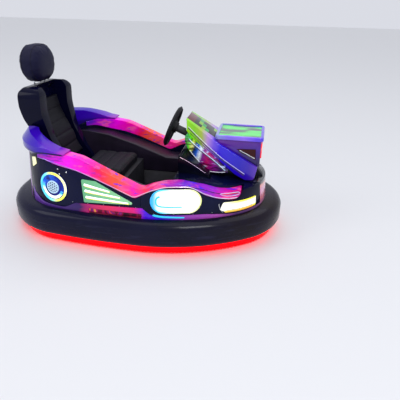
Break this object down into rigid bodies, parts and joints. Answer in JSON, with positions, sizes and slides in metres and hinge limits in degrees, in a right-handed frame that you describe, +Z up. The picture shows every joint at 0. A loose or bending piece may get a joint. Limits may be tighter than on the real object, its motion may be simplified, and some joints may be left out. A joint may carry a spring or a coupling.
{
  "type": "battery bumper car styled as a racing kart",
  "caption": "Single-seat arena bumper car with a rubber ring, lit side lamps, bucket seat and a steered drive wheel under the nose.",
  "frame": {"origin": "on the floor under the middle of the bumper ring", "axes": "+X forward, +Y to the rider's left, +Z up"},
  "size_m": [1.8499, 1.15, 1.154],
  "materials": {
    "rubber_black": "moulded, semi-gloss",
    "strip_red": "lit red acrylic",
    "frame_steel": "satin black paint",
    "bare_steel": "machined",
    "tyre": "solid rubber",
    "rim_alloy": "cast, machined",
    "battery_case": "moulded",
    "tub_black": "textured",
    "liner_black": "textured",
    "seat_cover": "black cover",
    "seat_black": "gloss black",
    "headrest_cover": "dark navy cover",
    "post_chrome": "polished",
    "lilac_plate": "pearl lilac, plated",
    "violet_plate": "pearl violet, plated",
    "magenta_plate": "pearl magenta, plated",
    "panel_black": "gloss black",
    "fin_blue": "streaked gloss",
    "console_lilac": "lime fading to blue-violet",
    "pod_green": "glossy green",
    "grip_black": "soft grip",
    "lamp_blue": "lit ring lamp",
    "lamp_white": "lit lamp",
    "lamp_green": "lit lamp",
    "lamp_warm": "lit lamp",
    "lamp_yellow": "lit lamp"
  },
  "bodies": {
    "kart": {"bumper_ring": "rubber_black", "light_strip": "strip_red", "chassis_pan": "frame_steel", "drive_tower": "frame_steel", "rear_axle": "frame_steel", "battery": "battery_case", "floor_tub": "tub_black", "cockpit_liner": "liner_black", "seat_box": "tub_black", "seat_cushion": "seat_cover", "seat_shell": "seat_black", "seat_pad": "seat_cover", "headrest": "headrest_cover", "headrest_posts": "post_chrome", "side_sills": "lilac_plate", "rear_quarters": "panel_black", "front_fenders": "panel_black", "side_bands": "magenta_plate", "tail_panel": "violet_plate", "rear_cowl": "violet_plate", "nose_panel": "lilac_plate", "hood": "panel_black", "console_plinth": "panel_black", "console_fins": "fin_blue", "console_tray": "console_lilac", "pod_body": "violet_plate", "pod_rim": "lilac_plate", "pod_top": "pod_green", "light_bars": "strip_red", "steering_column": "tub_black", "pedal": "frame_steel", "wheel_lamps": "lamp_blue", "side_lamps": "lamp_white", "triangle_lamps": "lamp_green", "headlights": "lamp_warm", "tail_lamps": "lamp_yellow"},
    "drive_unit": {"drive_fork": "bare_steel"},
    "drive_wheel": {"drive_tyre": "tyre", "drive_rim": "rim_alloy"},
    "rear_wheel_right": {"rear_tyre_right": "tyre", "rear_rim_right": "rim_alloy"},
    "rear_wheel_left": {"rear_tyre_left": "tyre", "rear_rim_left": "rim_alloy"},
    "steering": {"steering_wheel": "grip_black"}
  },
  "joints": [
    {"name": "drive_steer", "type": "hinge", "parent": "kart", "child": "drive_unit", "pos_m": [0.56, 0, 0.1], "axis": [0, 0, 1], "continuous": true},
    {"name": "drive_spin", "type": "hinge", "parent": "drive_unit", "child": "drive_wheel", "pos_m": [0.56, 0, 0.1], "axis": [0, 1, 0], "continuous": true},
    {"name": "rear_spin_right", "type": "hinge", "parent": "kart", "child": "rear_wheel_right", "pos_m": [-0.48, -0.318, 0.1], "axis": [0, 1, 0], "continuous": true},
    {"name": "rear_spin_left", "type": "hinge", "parent": "kart", "child": "rear_wheel_left", "pos_m": [-0.48, 0.318, 0.1], "axis": [0, 1, 0], "continuous": true},
    {"name": "wheel_turn", "type": "hinge", "parent": "kart", "child": "steering", "pos_m": [0.168, 0, 0.678], "axis": [-0.9272, 0, 0.3746], "continuous": true}
  ],
  "couplings": [
    {"joint": "wheel_turn", "follows": "drive_steer", "ratio": 1}
  ]
}
